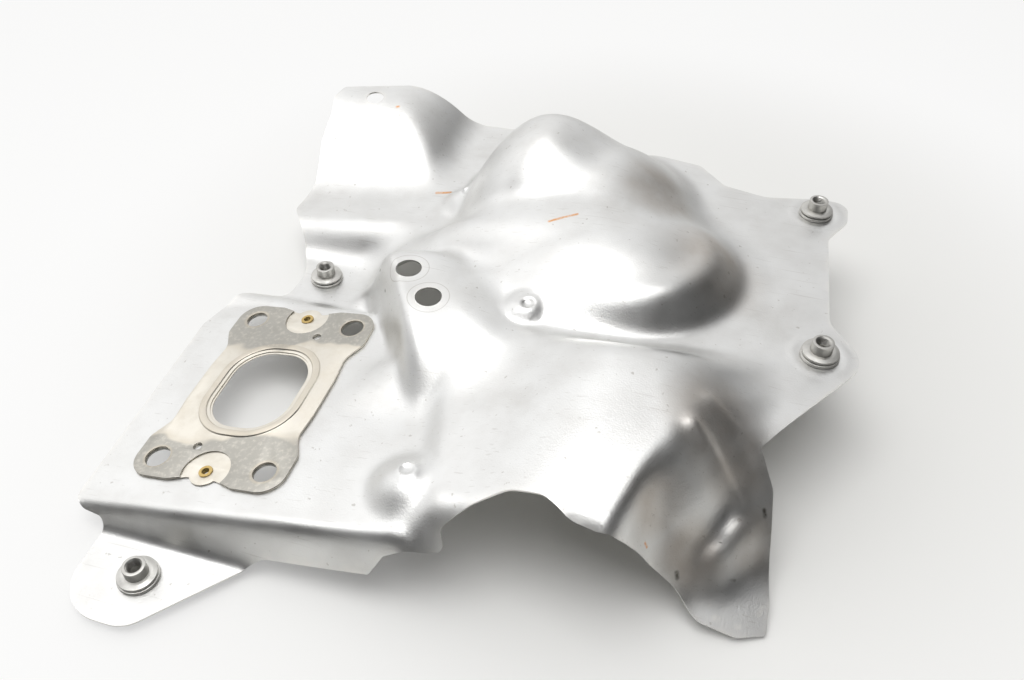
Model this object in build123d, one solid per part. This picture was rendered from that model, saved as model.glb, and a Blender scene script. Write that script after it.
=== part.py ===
from build123d import *
import os
from math import atan, cos, degrees, radians, sin, sqrt

# Pressed heat shield with its port gasket and four captive threaded sleeves, lying as it comes to rest.
# Millimetres, +Z up from the floor, +Y along the gasket's long side. A slope is rise over run, a heading
# is degrees from +X towards +Y, and a height is the top skin's height above the floor.

# Sheet metal
SHEET_T = 0.8
SEAT_GAP = 0.15
FIT = 0.05
BOX_CENTRE = (3.0, -10.0)

# Threaded sleeves and their washers
THREAD_BORE = 5.0
THREAD_LENGTH = 3.4
MOUTH_CHAMFER = 0.5
SLEEVE_OD = 8.4
SLEEVE_RELIEF = 6.2
SLEEVE_ABOVE_WASHERS = 4.2
SLEEVE_HOLE = 9.6
FOOT_OD = 11.6
FOOT_T = 1.6
UNDER_WASHER_OD = 14.6
UNDER_WASHER_T = 1.0
RING_WASHER_OD = 15.2
RING_WASHER_T = 1.2
CONE_HUB_OD = 12.0
CONE_HUB_T = 0.5
CONE_RIM_OD = 14.4
CONE_RIM_T = 0.9
CONE_TOP_OD = 11.0
CONE_RISE = 0.5
EAR_AT = (-94.6, -149.3)
POCKET_AT = (-95.5, 14.6)
FRONT_LOBE_AT = (127.3, -6.3)
REAR_LOBE_AT = (121.6, 89.1)

# Gasket panel and the gasket on it
SEAT_AT = (-86.9, -65.8)
SEAT_HEIGHT = 17.35
SEAT_SLOPE = 0.15
LAYER_T = 0.5
STUD_SPACING = (47.4, 80.8)
LOCATING_HOLE = 9.2
CLEARANCE_HOLE = 9.9
LOBE_R = 9.4
WAIST = (28.5, 22.0)
BULGE = (29.6, 10.0)
PORT = (34.0, 42.0)
PORT_R = 14.5
PORT_LAYER_STEP = 0.8
PORT_SHEET_STEP = 1.5
BEAD_START = 2.0
BEAD_WIDTH = 3.4
BEAD_HEIGHT = 0.6
EYELET_PITCH = 87.6
EYELET_BORE = 3.0
EYELET_WALL = 0.45
EYELET_FLANGE_OD = 5.4
EYELET_FLANGE_T = 0.35
EYELET_TAB_R = 6.4
SCALLOP_R = 9.7
PIN_HOLE = 3.6
PIN_HOLE_AT = (10.0, 33.0)

# Left side of the pressing, from the front ear to the rear tab
FRONT_WALL = (-134.5, 2.6)
SEAT_REAR = (-6.0, 2.0)
POCKET_HEIGHT = 10.0
POCKET_WALL = (30.0, -74.0, 1.2)
VALLEY_HEIGHT = 20.0
VALLEY_SLOPE = (0.1, 0.02)
VALLEY_FROM = (-125.0, 45.0)
RAMP_FOOT = (71.0, 22.0)
RAMP_SLOPE = 0.68
TAB_HEIGHT = 50.0
TAB_FLANK = (-82.0, 1.0)
TAB_HOLE = 9.0
TAB_HOLE_AT = (-108.7, 117.1)
LEFT_END = (25.0, 1.2)

# Right panel and the tower with its two holes
PANEL_HEIGHT = 40.0
PANEL_BEND = (85.0, 0.03)
PANEL_EDGES = [((0, -42), -110, 43, 0.6), ((-15, 0), 170, 43, 1.0),
               ((104, -60), -55, 40, 1.1), ((40, 117), 130, 43, 1.5)]
TOWER_AT = (-35.0, -17.0)
TOWER_HEIGHT = 48.0
TOWER_FACES = [(212, 9.5, 4.0), (140, 27, 2.0), (101, 25, 1.6), (252, 25, 1.2), (-66, 29, 0.6), (39, 23, 1.0)]
TOWER_HOLE = 11.0
TOWER_HOLES_AT = [(-41.5, -9.5), (-27.5, -24.0)]

# Front saddle, its boss, the shelf boss and the valley boss
SADDLE_HEIGHT = 38.0
SADDLE_SLOPE = 0.06
SADDLE_EDGES = [((-4, -80), 192, 37, 1.8), ((20, -114), -92, 37, 1.6),
                ((60, -80), 0, 40, 1.2), ((0, -40), 90, 38, 0.8)]
FRONT_BOSS = ((-6, -103), 0, (20, 20), 38, 16)
SHELF_BOSS = ((11, -15), 0, (10, 10), 52, 12)
SHELF_HEIGHT = 47.0
VALLEY_BOSS = ((-41, 67), 0, (11, 11), 36, 7)

# Front bump with the flap that reaches the floor
BUMP_HEIGHT = 58.0
BUMP_CROWN = (-56.0, 0.16)
BUMP_EDGES = [((60, -38), 95, 58, 1.1), ((46, -60), 185, 57, 0.5),
              ((80, -50), 12, 57, 0.62), ((20, -114), -95, 42, 1.6)]
FLAP_WALL = ((72, -95), -25, 51, 1.25)
FLAP_LEDGE = ((72, -95), -25, 30.5, 0.35)
FLAP_TIP = (122.7, -108.0)
FLAP_LIP_HEADING = -50
FLAP_LIP_SLOPE = 0.38
FLAP_STEP = (20.6, 1.6)

# Dome: rear crown, right shoulder, front lobe and the tail that runs out to the left
DOME_CROWNS = [((-2, 76), -6, (42, 56), 75, 45), ((24, 66), 0, (46, 48), 67, 27),
               ((2, 30), 5, (58, 28), 55, 28), ((40, 24), 5, (58, 47), 62, 21)]
DOME_ROUND = 14.0
SKIRT_END = 148.0
SKIRT_SLOPE = 1.35

# Fillet sizes between the pressed forms, as heights over which two skins run into each other
FOLD_ROUND = 8.0
SOFT_ROUND = 14.0

# Outline of the blank in plan, counter-clockwise, each corner with its radius
EAR_EDGE = [(-132.5, -131.5, 7), (-118.5, -133, 3), (-118.5, -168, 18), (-89, -168.5, 13), (-57, -133, 14)]
FRONT_EDGE = [(-13, -131, 2), (-8, -127.5, 2), (12.5, -123, 1.5), (10, -118.5, 1.5)]
ARCH_EDGE = [(19, -112, 10), (30, -106, 8), (42, -106.5, 10), (52.5, -111, 8), (75, -104.5, 12)]
FLAP_EDGE = [(91, -106, 10), (99, -112, 8), (113, -112.5, 5), (122.8, -108.2, 1.5), (122.6, -98, 12),
             (117, -66, 5), (109.5, -57.5, 1.5)]
LOBE_EDGE = [(145.5, -6, 14), (130.5, 14, 9), (128, 71, 10), (136, 86, 8), (136, 101, 7)]
PANEL_REAR_EDGE = [(122, 101, 8), (98, 95.5, 12), (78.5, 99.5, 6), (65, 113, 5), (39, 116, 5)]
SKIRT_EDGE = [(30, 128, 6), (24.4, SKIRT_END, 5), (-5, SKIRT_END, 8), (-28, 136, 10)]
TAB_EDGE = [(-58, 139, 12), (-78, 135.5, 14), (-95, 133, 10), (-128, 122, 3), (-130.5, 113, 5)]
LEFT_EDGE = [(-128.5, 103, 14), (-129.5, 91, 14), (-125.5, 70, 14), (-127.5, 50, 8), (-116, 34.5, 9),
             (-107, 16, 12), (-107.5, -3, 8), (-128, -7.5, 8), (-136, -30, 8)]

# Grid stretches on which the skin's height is worked out: start, and pitch up to the next start
GRID_X = [(-142, 6.5), (-64, 3.0), (-34, 6.5), (146, None)]
GRID_Y = [(-176, 6.0), (-138, 2.0), (-118, 6.0), (-52, 3.3), (6, 6.0), (24, 3.6), (46, 6.0), (154, None)]
SKIN_TOLERANCE = 0.05
SKIN_DEGREES = {"min_deg": 3, "max_deg": 8}
TRIM_HEIGHT = -8.0

# Worked out from the sizes above
EAR_HEIGHT = FOOT_T + FIT + UNDER_WASHER_T + SEAT_GAP + SHEET_T
OUTLINE = (EAR_EDGE + FRONT_EDGE + ARCH_EDGE + FLAP_EDGE + LOBE_EDGE + PANEL_REAR_EDGE + SKIRT_EDGE
           + TAB_EDGE + LEFT_EDGE)
REACH = 120.0
SEAT_TILT = degrees(atan(SEAT_SLOPE))
SEAT_FRAME = Plane(Location((*SEAT_AT, SEAT_HEIGHT), (0, -SEAT_TILT, 0)))
STUDS = [(side * STUD_SPACING[0] / 2, end * STUD_SPACING[1] / 2) for side in (-1, 1) for end in (-1, 1)]


def blend_max(a, b, rounding):
    """Higher of two heights, with the fold between them rounded."""
    overlap = max(rounding - abs(a - b), 0.0)
    return max(a, b) + overlap * overlap / (4 * rounding)


def blend_min(a, b, rounding):
    """Lower of two heights, with the edge between them rounded."""
    return -blend_max(-a, -b, rounding)


def face_height(x, y, edge, heading, top, slope):
    """Height on a plane that falls towards heading, and is top high at the point edge."""
    return top - slope * ((x - edge[0]) * cos(radians(heading)) + (y - edge[1]) * sin(radians(heading)))


def crown_height(x, y, centre, heading, radii, top, rise):
    """Height on a crown that is rise lower at its two radii."""
    along, across = cos(radians(heading)), sin(radians(heading))
    u = ((x - centre[0]) * along + (y - centre[1]) * across) / radii[0]
    v = ((y - centre[1]) * along - (x - centre[0]) * across) / radii[1]
    return top - rise * (u * u + v * v)


def cut_by(z, x, y, edges, rounding):
    """Height z where it is cut down by sloping faces."""
    for edge in edges:
        z = blend_min(z, face_height(x, y, *edge), rounding)
    return z


def seat_height(x):
    return SEAT_HEIGHT + SEAT_SLOPE * (x - SEAT_AT[0])


def left_height(x, y):
    """Ear, gasket panel, pocket, valley and rear tab."""
    wall_y, wall_x, wall_slope = POCKET_WALL
    from_wall = blend_max(y - wall_y, blend_min(x - wall_x, y + FOLD_ROUND / 4, FOLD_ROUND), 2 * FOLD_ROUND)
    valley = VALLEY_HEIGHT + VALLEY_SLOPE[0] * (x - VALLEY_FROM[0]) + VALLEY_SLOPE[1] * (y - VALLEY_FROM[1])
    ramp = blend_min(RAMP_FOOT[1] + RAMP_SLOPE * (y - RAMP_FOOT[0]), TAB_HEIGHT, FOLD_ROUND)
    tab = blend_min(ramp, TAB_HEIGHT - TAB_FLANK[1] * (x - TAB_FLANK[0]), SOFT_ROUND)
    upper = blend_max(valley, tab, FOLD_ROUND)
    from_seat = SEAT_REAR[1] * (y - SEAT_REAR[0])
    pocket = blend_min(POCKET_HEIGHT, POCKET_HEIGHT + 2 * FOLD_ROUND + from_seat, FOLD_ROUND)
    rear = blend_max(pocket, blend_min(POCKET_HEIGHT + wall_slope * from_wall, upper, FOLD_ROUND), FOLD_ROUND)
    seat = blend_min(seat_height(x), POCKET_HEIGHT - from_seat, FOLD_ROUND)
    panel = blend_max(rear, seat, FOLD_ROUND)
    wall = EAR_HEIGHT + FRONT_WALL[1] * (y - FRONT_WALL[0])
    left = blend_max(EAR_HEIGHT, blend_min(panel, wall, FOLD_ROUND), FOLD_ROUND)
    return blend_min(left, LEFT_END[1] * (LEFT_END[0] - x), FOLD_ROUND)


def panel_height(x, y):
    bend = blend_max(0.0, PANEL_BEND[1] * (PANEL_BEND[0] - x), FOLD_ROUND / 4)
    return cut_by(PANEL_HEIGHT + bend, x, y, PANEL_EDGES, FOLD_ROUND)


def tower_height(x, y):
    z = TOWER_HEIGHT
    for heading, reach, slope in TOWER_FACES:
        edge = (TOWER_AT[0] + reach * cos(radians(heading)), TOWER_AT[1] + reach * sin(radians(heading)))
        z = blend_min(z, face_height(x, y, edge, heading, TOWER_HEIGHT, slope), SOFT_ROUND)
    return z


def saddle_height(x, y):
    return cut_by(SADDLE_HEIGHT + SADDLE_SLOPE * x, x, y, SADDLE_EDGES, FOLD_ROUND)


def shelf_height(x, y):
    return blend_min(crown_height(x, y, *SHELF_BOSS), SHELF_HEIGHT, FOLD_ROUND / 2)


def bump_height(x, y):
    lip_top = SHEET_T * sqrt(1 + FLAP_LIP_SLOPE ** 2)
    flap = blend_max(face_height(x, y, *FLAP_WALL), face_height(x, y, *FLAP_LEDGE), FOLD_ROUND)
    lip = face_height(x, y, FLAP_TIP, FLAP_LIP_HEADING, lip_top, FLAP_LIP_SLOPE)
    step_foot = lip_top + (FLAP_LIP_SLOPE - FLAP_STEP[1]) * FLAP_STEP[0]
    step = face_height(x, y, FLAP_TIP, FLAP_LIP_HEADING, step_foot, FLAP_STEP[1])
    lip = blend_max(lip, step, FOLD_ROUND / 2)
    top = blend_min(BUMP_HEIGHT, BUMP_HEIGHT + BUMP_CROWN[1] * (y - BUMP_CROWN[0]), FOLD_ROUND)
    top = cut_by(top, x, y, BUMP_EDGES, FOLD_ROUND)
    return blend_min(top, blend_min(flap, lip, FOLD_ROUND), FOLD_ROUND)


def dome_height(x, y):
    dome = crown_height(x, y, *DOME_CROWNS[0])
    for crown in DOME_CROWNS[1:]:
        dome = blend_max(dome, crown_height(x, y, *crown), DOME_ROUND)
    skirt_foot = SHEET_T * sqrt(1 + SKIRT_SLOPE ** 2)
    return blend_min(dome, skirt_foot + SKIRT_SLOPE * (SKIRT_END - y), DOME_ROUND)


def skin_height(x, y):
    """Height of the top skin: the highest of the pressed forms, run into each other."""
    z = blend_max(left_height(x, y), TRIM_HEIGHT, FOLD_ROUND)
    for form in (panel_height, tower_height, saddle_height, bump_height, dome_height):
        z = blend_max(z, form(x, y), FOLD_ROUND)
    for boss in (crown_height(x, y, *FRONT_BOSS), crown_height(x, y, *VALLEY_BOSS), shelf_height(x, y)):
        z = blend_max(z, boss, FOLD_ROUND / 2)
    return z


def grid_lines(stretches):
    lines = []
    for (start, pitch), (end, _) in zip(stretches, stretches[1:]):
        count = round((end - start) / pitch)
        lines += [start + (end - start) * i / count for i in range(count)]
    return lines + [stretches[-1][0]]


def under_skin(x, y, step=0.05):
    """Point one sheet thickness under the top skin, square to it."""
    slope_x = (skin_height(x + step, y) - skin_height(x - step, y)) / (2 * step)
    slope_y = (skin_height(x, y + step) - skin_height(x, y - step)) / (2 * step)
    share = SHEET_T / sqrt(1 + slope_x ** 2 + slope_y ** 2)
    return (x + share * slope_x, y + share * slope_y, skin_height(x, y) - share)


def pressed_blank():
    """Rectangular sheet with every pressed form, before it is trimmed."""
    columns, rows = grid_lines(GRID_X), grid_lines(GRID_Y)
    top_points = [[(x, y, skin_height(x, y)) for y in rows] for x in columns]
    low_points = [[under_skin(x, y) for y in rows] for x in columns]
    top = Face.make_surface_from_array_of_points(top_points, tol=SKIN_TOLERANCE, **SKIN_DEGREES)
    low = Face.make_surface_from_array_of_points(low_points, tol=SKIN_TOLERANCE, **SKIN_DEGREES)
    sides = []
    for edge in top.edges():
        partner = low.edges().sort_by_distance(edge.position_at(0.5))[0]
        sides.append(Face.make_surface_from_curves(edge, partner))
    return Solid(Shell([top, low, *sides]))


def plan_prism():
    corners = [(x, y) for x, y, _ in OUTLINE]
    radii = [radius for _, _, radius in OUTLINE]
    with BuildPart() as prism:
        with BuildSketch(Plane.XY.offset(-REACH / 6)):
            with BuildLine():
                FilletPolyline(*corners, radius=radii, close=True)
            make_face()
        extrude(amount=REACH)
    return prism.part


def upright_hole(at, diameter):
    return Pos(*at, REACH / 4) * Cylinder(diameter / 2, REACH)


def seat_cut(sketch):
    """Cut straight through the gasket panel, from a sketch in the seat's own plane."""
    return SEAT_FRAME * extrude(sketch, REACH, both=True)


def port_sketch(grow):
    return RectangleRounded(PORT[0] + 2 * grow, PORT[1] + 2 * grow, PORT_R + grow)


def stud_holes():
    """Two diagonal holes locate the gasket, the other two clear their studs."""
    holes = Sketch()
    for u, v in STUDS:
        diameter = LOCATING_HOLE if u * v < 0 else CLEARANCE_HOLE
        holes += Pos(u, v) * Circle(diameter / 2)
    return holes


def eyelet_places():
    return [(0, -EYELET_PITCH / 2), (0, EYELET_PITCH / 2)]


def eyelet_od():
    return EYELET_BORE + 2 * EYELET_WALL


def circles(places, diameter):
    found = Sketch()
    for u, v in places:
        found += Pos(u, v) * Circle(diameter / 2)
    return found


def trim_die():
    """What stays of the blank: the plan outline without the holes, which are square to the skin they go through."""
    die = plan_prism()
    for at in (EAR_AT, POCKET_AT, FRONT_LOBE_AT, REAR_LOBE_AT):
        die -= upright_hole(at, SLEEVE_HOLE)
    for at in TOWER_HOLES_AT:
        die -= upright_hole(at, TOWER_HOLE)
    die -= upright_hole(TAB_HOLE_AT, TAB_HOLE)
    die -= seat_cut(port_sketch(PORT_SHEET_STEP))
    die -= seat_cut(stud_holes())
    die -= seat_cut(circles(eyelet_places(), eyelet_od() + 2 * FIT))
    return die


def shield_sheet():
    return pressed_blank() & trim_die()


def gasket_outline():
    """Four lobes round the stud holes, a waist between them and a slight bulge beside the port."""
    lobe_u, lobe_v = STUD_SPACING[0] / 2 + LOBE_R, STUD_SPACING[1] / 2 + LOBE_R
    quarter = [(BULGE[0], BULGE[1], 12), (WAIST[0], WAIST[1], 9), (lobe_u, lobe_v - 2 * LOBE_R, LOBE_R / 2),
               (lobe_u, lobe_v, LOBE_R), (lobe_u - 2 * LOBE_R, lobe_v, LOBE_R / 2)]
    end_v = lobe_v - LOBE_R / 4
    quarter.append((EYELET_TAB_R, end_v, LOBE_R / 3))
    corners = list(quarter)
    corners += [(-u, v, r) for u, v, r in reversed(quarter)]
    corners += [(-u, -v, r) for u, v, r in quarter]
    corners += [(u, -v, r) for u, v, r in reversed(quarter)]
    line = FilletPolyline(*[(u, v) for u, v, _ in corners], radius=[r for _, _, r in corners], close=True)
    return make_face(line.edges())


def pin_holes():
    return circles([PIN_HOLE_AT, (-PIN_HOLE_AT[0], -PIN_HOLE_AT[1])], PIN_HOLE)


def gasket_lower_layer():
    """Layer with the two riveted tabs, which show inside the upper layer's scallops."""
    sketch = gasket_outline() + circles(eyelet_places(), 2 * EYELET_TAB_R)
    sketch -= port_sketch(0) + stud_holes() + pin_holes()
    sketch -= circles(eyelet_places(), eyelet_od() + 2 * FIT)
    return SEAT_FRAME * Pos(0, 0, SEAT_GAP) * extrude(sketch, LAYER_T)


def gasket_upper_layer():
    """Layer with a raised bead round the port, hollow below, and a scallop round each eyelet."""
    sketch = gasket_outline() - circles(eyelet_places(), 2 * SCALLOP_R)
    sketch -= port_sketch(PORT_LAYER_STEP) + stud_holes() + pin_holes()
    layer = extrude(sketch, LAYER_T)
    bead = port_sketch(BEAD_START + BEAD_WIDTH) - port_sketch(BEAD_START)
    ridge = Pos(0, 0, LAYER_T) * extrude(bead, BEAD_HEIGHT, taper=30)
    groove = port_sketch(BEAD_START + BEAD_WIDTH - LAYER_T) - port_sketch(BEAD_START + LAYER_T)
    layer = layer + ridge - extrude(groove, BEAD_HEIGHT)
    return SEAT_FRAME * Pos(0, 0, SEAT_GAP + LAYER_T + FIT / 2) * layer


def eyelet(place):
    """Tube through gasket tab and sheet, rolled over at both ends."""
    top = SEAT_GAP + LAYER_T + FIT / 2
    low = -SHEET_T - SEAT_GAP
    with BuildPart() as built:
        with Locations((0, 0, low - EYELET_FLANGE_T)):
            Cylinder(eyelet_od() / 2, top - low + 2 * EYELET_FLANGE_T, align=(Align.CENTER, Align.CENTER, Align.MIN))
        for level in (low - EYELET_FLANGE_T, top):
            with Locations((0, 0, level)):
                Cylinder(EYELET_FLANGE_OD / 2, EYELET_FLANGE_T, align=(Align.CENTER, Align.CENTER, Align.MIN))
        Hole(EYELET_BORE / 2)
        fillet(built.edges().filter_by(GeomType.CIRCLE).group_by(SortBy.RADIUS)[-1], EYELET_FLANGE_T / 3)
    return SEAT_FRAME * Pos(*place, 0) * built.part


def turned(profile):
    """Ring turned from a profile of radius and height points."""
    return revolve(Plane.XZ * make_face(Polyline(*profile, close=True).edges()), Axis.Z)


def ring_washer():
    inner, outer = SLEEVE_OD / 2 + FIT, RING_WASHER_OD / 2
    low, high = SEAT_GAP, SEAT_GAP + RING_WASHER_T
    edge = RING_WASHER_T / 4
    return turned([(inner, low), (outer, low), (outer, high - edge), (outer - edge, high), (inner, high)])


def cone_base():
    return SEAT_GAP + RING_WASHER_T + FIT


def cone_top():
    return cone_base() + CONE_HUB_T + CONE_RIM_T + CONE_RISE


def cone_washer():
    inner, low = SLEEVE_OD / 2 + FIT, cone_base()
    rim = low + CONE_HUB_T
    return turned([(inner, low), (CONE_HUB_OD / 2, low), (CONE_HUB_OD / 2, rim), (CONE_RIM_OD / 2, rim),
                   (CONE_RIM_OD / 2, rim + CONE_RIM_T), (CONE_TOP_OD / 2, cone_top()), (inner, cone_top())])


def under_washer():
    inner, high = SLEEVE_OD / 2 + FIT, -SHEET_T - SEAT_GAP
    low = high - UNDER_WASHER_T
    return turned([(inner, low), (UNDER_WASHER_OD / 2, low), (UNDER_WASHER_OD / 2, high), (inner, high)])


def threaded_sleeve():
    """Sleeve with its thread in the collar, a plain bore below it and a foot that holds the washers."""
    top = cone_top() + SLEEVE_ABOVE_WASHERS
    foot = -SHEET_T - SEAT_GAP - UNDER_WASHER_T - FIT
    bore, relief = THREAD_BORE / 2, SLEEVE_RELIEF / 2
    thread_end = top - MOUTH_CHAMFER - THREAD_LENGTH
    return turned([(bore, top - MOUTH_CHAMFER), (bore, thread_end), (relief, thread_end - (relief - bore)),
                   (relief, foot - FOOT_T), (FOOT_OD / 2, foot - FOOT_T), (FOOT_OD / 2, foot),
                   (SLEEVE_OD / 2, foot), (SLEEVE_OD / 2, top - MOUTH_CHAMFER / 2),
                   (SLEEVE_OD / 2 - MOUTH_CHAMFER / 2, top), (bore + MOUTH_CHAMFER, top)])


def fastener_pieces(place, at):
    """The four pieces of one captive fastener, by node name."""
    seat = Pos(*at, skin_height(*at))
    return {f"{place}_sleeve": seat * threaded_sleeve(), f"{place}_cone_washer": seat * cone_washer(),
            f"{place}_ring_washer": seat * ring_washer(), f"{place}_under_washer": seat * under_washer()}


def assembly():
    front_place, rear_place = eyelet_places()
    pieces = {"shield_sheet": shield_sheet(), "gasket_lower_layer": gasket_lower_layer(),
              "gasket_upper_layer": gasket_upper_layer(), "front_eyelet": eyelet(front_place),
              "rear_eyelet": eyelet(rear_place)}
    pieces |= fastener_pieces("ear", EAR_AT)
    pieces |= fastener_pieces("rear_left", POCKET_AT)
    pieces |= fastener_pieces("right_front", FRONT_LOBE_AT)
    pieces |= fastener_pieces("right_rear", REAR_LOBE_AT)
    return pieces


os.makedirs("parts", exist_ok=True)
for name, piece in assembly().items():
    export_step(Pos(-BOX_CENTRE[0], -BOX_CENTRE[1], 0) * piece, f"parts/{name}.step")
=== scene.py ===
import math

import bmesh
import bpy
import numpy as np
from bpy.props import FloatProperty, FloatVectorProperty, IntProperty, PointerProperty
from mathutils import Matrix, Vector
from mathutils.geometry import delaunay_2d_cdt


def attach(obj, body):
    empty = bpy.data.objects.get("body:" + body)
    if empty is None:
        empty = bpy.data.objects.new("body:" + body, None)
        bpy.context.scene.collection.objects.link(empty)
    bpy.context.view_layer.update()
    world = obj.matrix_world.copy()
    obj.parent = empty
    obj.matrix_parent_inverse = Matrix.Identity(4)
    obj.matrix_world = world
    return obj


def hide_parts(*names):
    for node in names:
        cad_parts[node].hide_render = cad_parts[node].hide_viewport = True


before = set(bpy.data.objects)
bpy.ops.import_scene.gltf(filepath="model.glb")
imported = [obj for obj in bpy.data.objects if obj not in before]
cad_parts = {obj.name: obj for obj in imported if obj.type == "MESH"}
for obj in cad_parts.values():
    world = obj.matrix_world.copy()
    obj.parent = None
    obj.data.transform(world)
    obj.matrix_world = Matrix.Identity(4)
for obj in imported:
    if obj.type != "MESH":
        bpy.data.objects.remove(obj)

bl_info = {
    "name": "Heat shield",
    "version": (1, 0, 0),
    "blender": (4, 5, 0),
    "location": "3D View > Sidebar > Heat shield",
    "description": "Dresses a pressed heat shield with its gasket and captive sleeves",
    "category": "Object",
}

MM = 0.001
# The skin's plan is in millimetres, before the move that puts the part's middle over the origin.
SHIFT = (-3.0, 10.0)
FASTENERS = {"ear": (-94.6, -149.3), "rear_left": (-95.5, 14.6), "right_front": (127.3, -6.3),
             "right_rear": (121.6, 89.1)}
RIGHT_SEATS = [FASTENERS["right_front"], FASTENERS["right_rear"]]
SEAT_AT, SEAT_HEIGHT, SEAT_SLOPE = (-86.9, -65.8), 17.35, 0.15


class SheetSettings(bpy.types.PropertyGroup):
    thickness: FloatProperty(name="Sheet thickness", description="Gauge of the pressed sheet",
                             default=0.8 * MM, unit="LENGTH", precision=5)
    pitch: FloatProperty(name="Mesh pitch", description="Distance between points of the skin",
                         default=1.9 * MM, unit="LENGTH", precision=5)
    dimple_depth: FloatProperty(name="Clinch depth", description="Depth of the round clinch marks",
                                default=0.9 * MM, unit="LENGTH", precision=5)
    metal: FloatVectorProperty(name="Sheet colour", description="Colour of the clean aluminised skin",
                               default=(0.80, 0.80, 0.79), subtype="COLOR", min=0, max=1)
    stain: FloatVectorProperty(name="Stain colour", description="Colour of the baked-on film",
                               default=(0.36, 0.33, 0.29), subtype="COLOR", min=0, max=1)
    # Brown of the patches on the right-facing walls, partly baked film and partly painted shade.
    film_and_shade: FloatVectorProperty(name="Film colour", description="Colour where the film is brown",
                              default=(0.44, 0.37, 0.30), subtype="COLOR", min=0, max=1)
    dirt: FloatVectorProperty(name="Dirt colour", description="Colour of the dark smears",
                              default=(0.13, 0.12, 0.10), subtype="COLOR", min=0, max=1)
    worn: FloatVectorProperty(name="Worn colour", description="Colour of the bright worn rims",
                              default=(0.84, 0.83, 0.80), subtype="COLOR", min=0, max=1)
    rust: FloatVectorProperty(name="Rust colour", description="Colour of the rust marks",
                              default=(0.72, 0.33, 0.10), subtype="COLOR", min=0, max=1)


class GasketSettings(bpy.types.PropertyGroup):
    metal: FloatVectorProperty(name="Gasket colour", description="Colour of the gasket's clean metal",
                               default=(0.80, 0.76, 0.68), subtype="COLOR", min=0, max=1)
    tan: FloatVectorProperty(name="Tan colour", description="Colour of the bead and of the stain's border",
                             default=(0.58, 0.52, 0.42), subtype="COLOR", min=0, max=1)
    stain: FloatVectorProperty(name="Heat stain", description="Colour of the lobes round the stud holes",
                               default=(0.40, 0.39, 0.36), subtype="COLOR", min=0, max=1)
    edge: FloatProperty(name="Edge round", description="Rounding of the stamped edges", default=0.14 * MM,
                        unit="LENGTH", precision=5)
    brass: FloatVectorProperty(name="Eyelet colour", description="Colour of the eyelets",
                               default=(0.62, 0.45, 0.18), subtype="COLOR", min=0, max=1)


class FastenerSettings(bpy.types.PropertyGroup):
    steps: IntProperty(name="Steps round", description="Steps of each turned piece",
                       default=56, min=16, max=128)
    zinc: FloatVectorProperty(name="Washer colour", description="Colour of the dull zinc plate",
                              default=(0.64, 0.63, 0.60), subtype="COLOR", min=0, max=1)
    sleeve: FloatVectorProperty(name="Sleeve colour", description="Colour of the threaded sleeves",
                                default=(0.58, 0.57, 0.54), subtype="COLOR", min=0, max=1)


class StageSettings(bpy.types.PropertyGroup):
    lens: FloatProperty(name="Lens", description="Focal length", default=31.64)
    height: FloatProperty(name="Camera height", description="Height above the floor",
                          default=0.288, unit="LENGTH")
    pitch: FloatProperty(name="Pitch", description="Angle below the horizon",
                         default=math.radians(44), subtype="ANGLE")
    azimuth: FloatProperty(name="Azimuth", description="Heading of the view",
                           default=math.radians(16.2), subtype="ANGLE")
    key: FloatProperty(name="Softbox power", description="Power of the overhead softbox in watts",
                       default=7.0)
    fill: FloatProperty(name="Fill power", description="Power of the soft fill from the left in watts",
                        default=0.7)
    shadow_centre: FloatVectorProperty(name="Shadow centre",
                                       description="Middle of the floor that keeps its shade",
                                       default=(0.05, 0.05, 0.0), subtype="TRANSLATION", unit="LENGTH")
    floor: FloatVectorProperty(name="Floor colour", description="Colour of the floor",
                               default=(0.94, 0.935, 0.91), subtype="COLOR", min=0, max=1)


# Skin height

def blend_max(a, b, rounding):
    overlap = np.maximum(rounding - np.abs(a - b), 0.0)
    return np.maximum(a, b) + overlap * overlap / (4 * rounding)


def blend_min(a, b, rounding):
    return -blend_max(-a, -b, rounding)


def slope_face(x, y, edge, heading, top, slope):
    h = math.radians(heading)
    return top - slope * ((x - edge[0]) * math.cos(h) + (y - edge[1]) * math.sin(h))


def crown(x, y, centre, heading, radii, top, rise):
    h = math.radians(heading)
    u = ((x - centre[0]) * math.cos(h) + (y - centre[1]) * math.sin(h)) / radii[0]
    v = ((y - centre[1]) * math.cos(h) - (x - centre[0]) * math.sin(h)) / radii[1]
    return top - rise * (u * u + v * v)


def cut_by(z, x, y, edges, rounding):
    for edge in edges:
        z = blend_min(z, slope_face(x, y, *edge), rounding)
    return z


EAR_HEIGHT = 3.6
FOLD, SOFT = 8.0, 14.0
GAUGE = 0.8
TOWER_AT, TOWER_TOP = (-35, -17), 48.0
FLAP_HEADING = -25
LIP_AT, LIP_HEADING, LIP_SLOPE, LIP_WIDTH = (122.7, -108.0), -50, 0.38, 20.6
STEP_SLOPE = 1.6
SKIRT_END, SKIRT_SLOPE = 148, 1.35
FRONT_LOBE_AT, FRONT_LOBE_HEADING, FRONT_LOBE_RADII = (40, 24), 5, (58, 47)
# The bump's front cheek: middle of its rim, how far the rim moves out there, and over what reach.
CHEEK_AT, CHEEK_PUSH, CHEEK_REACH = (65.0, -105.0), (1.0, -6.5), 12.0


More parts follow.
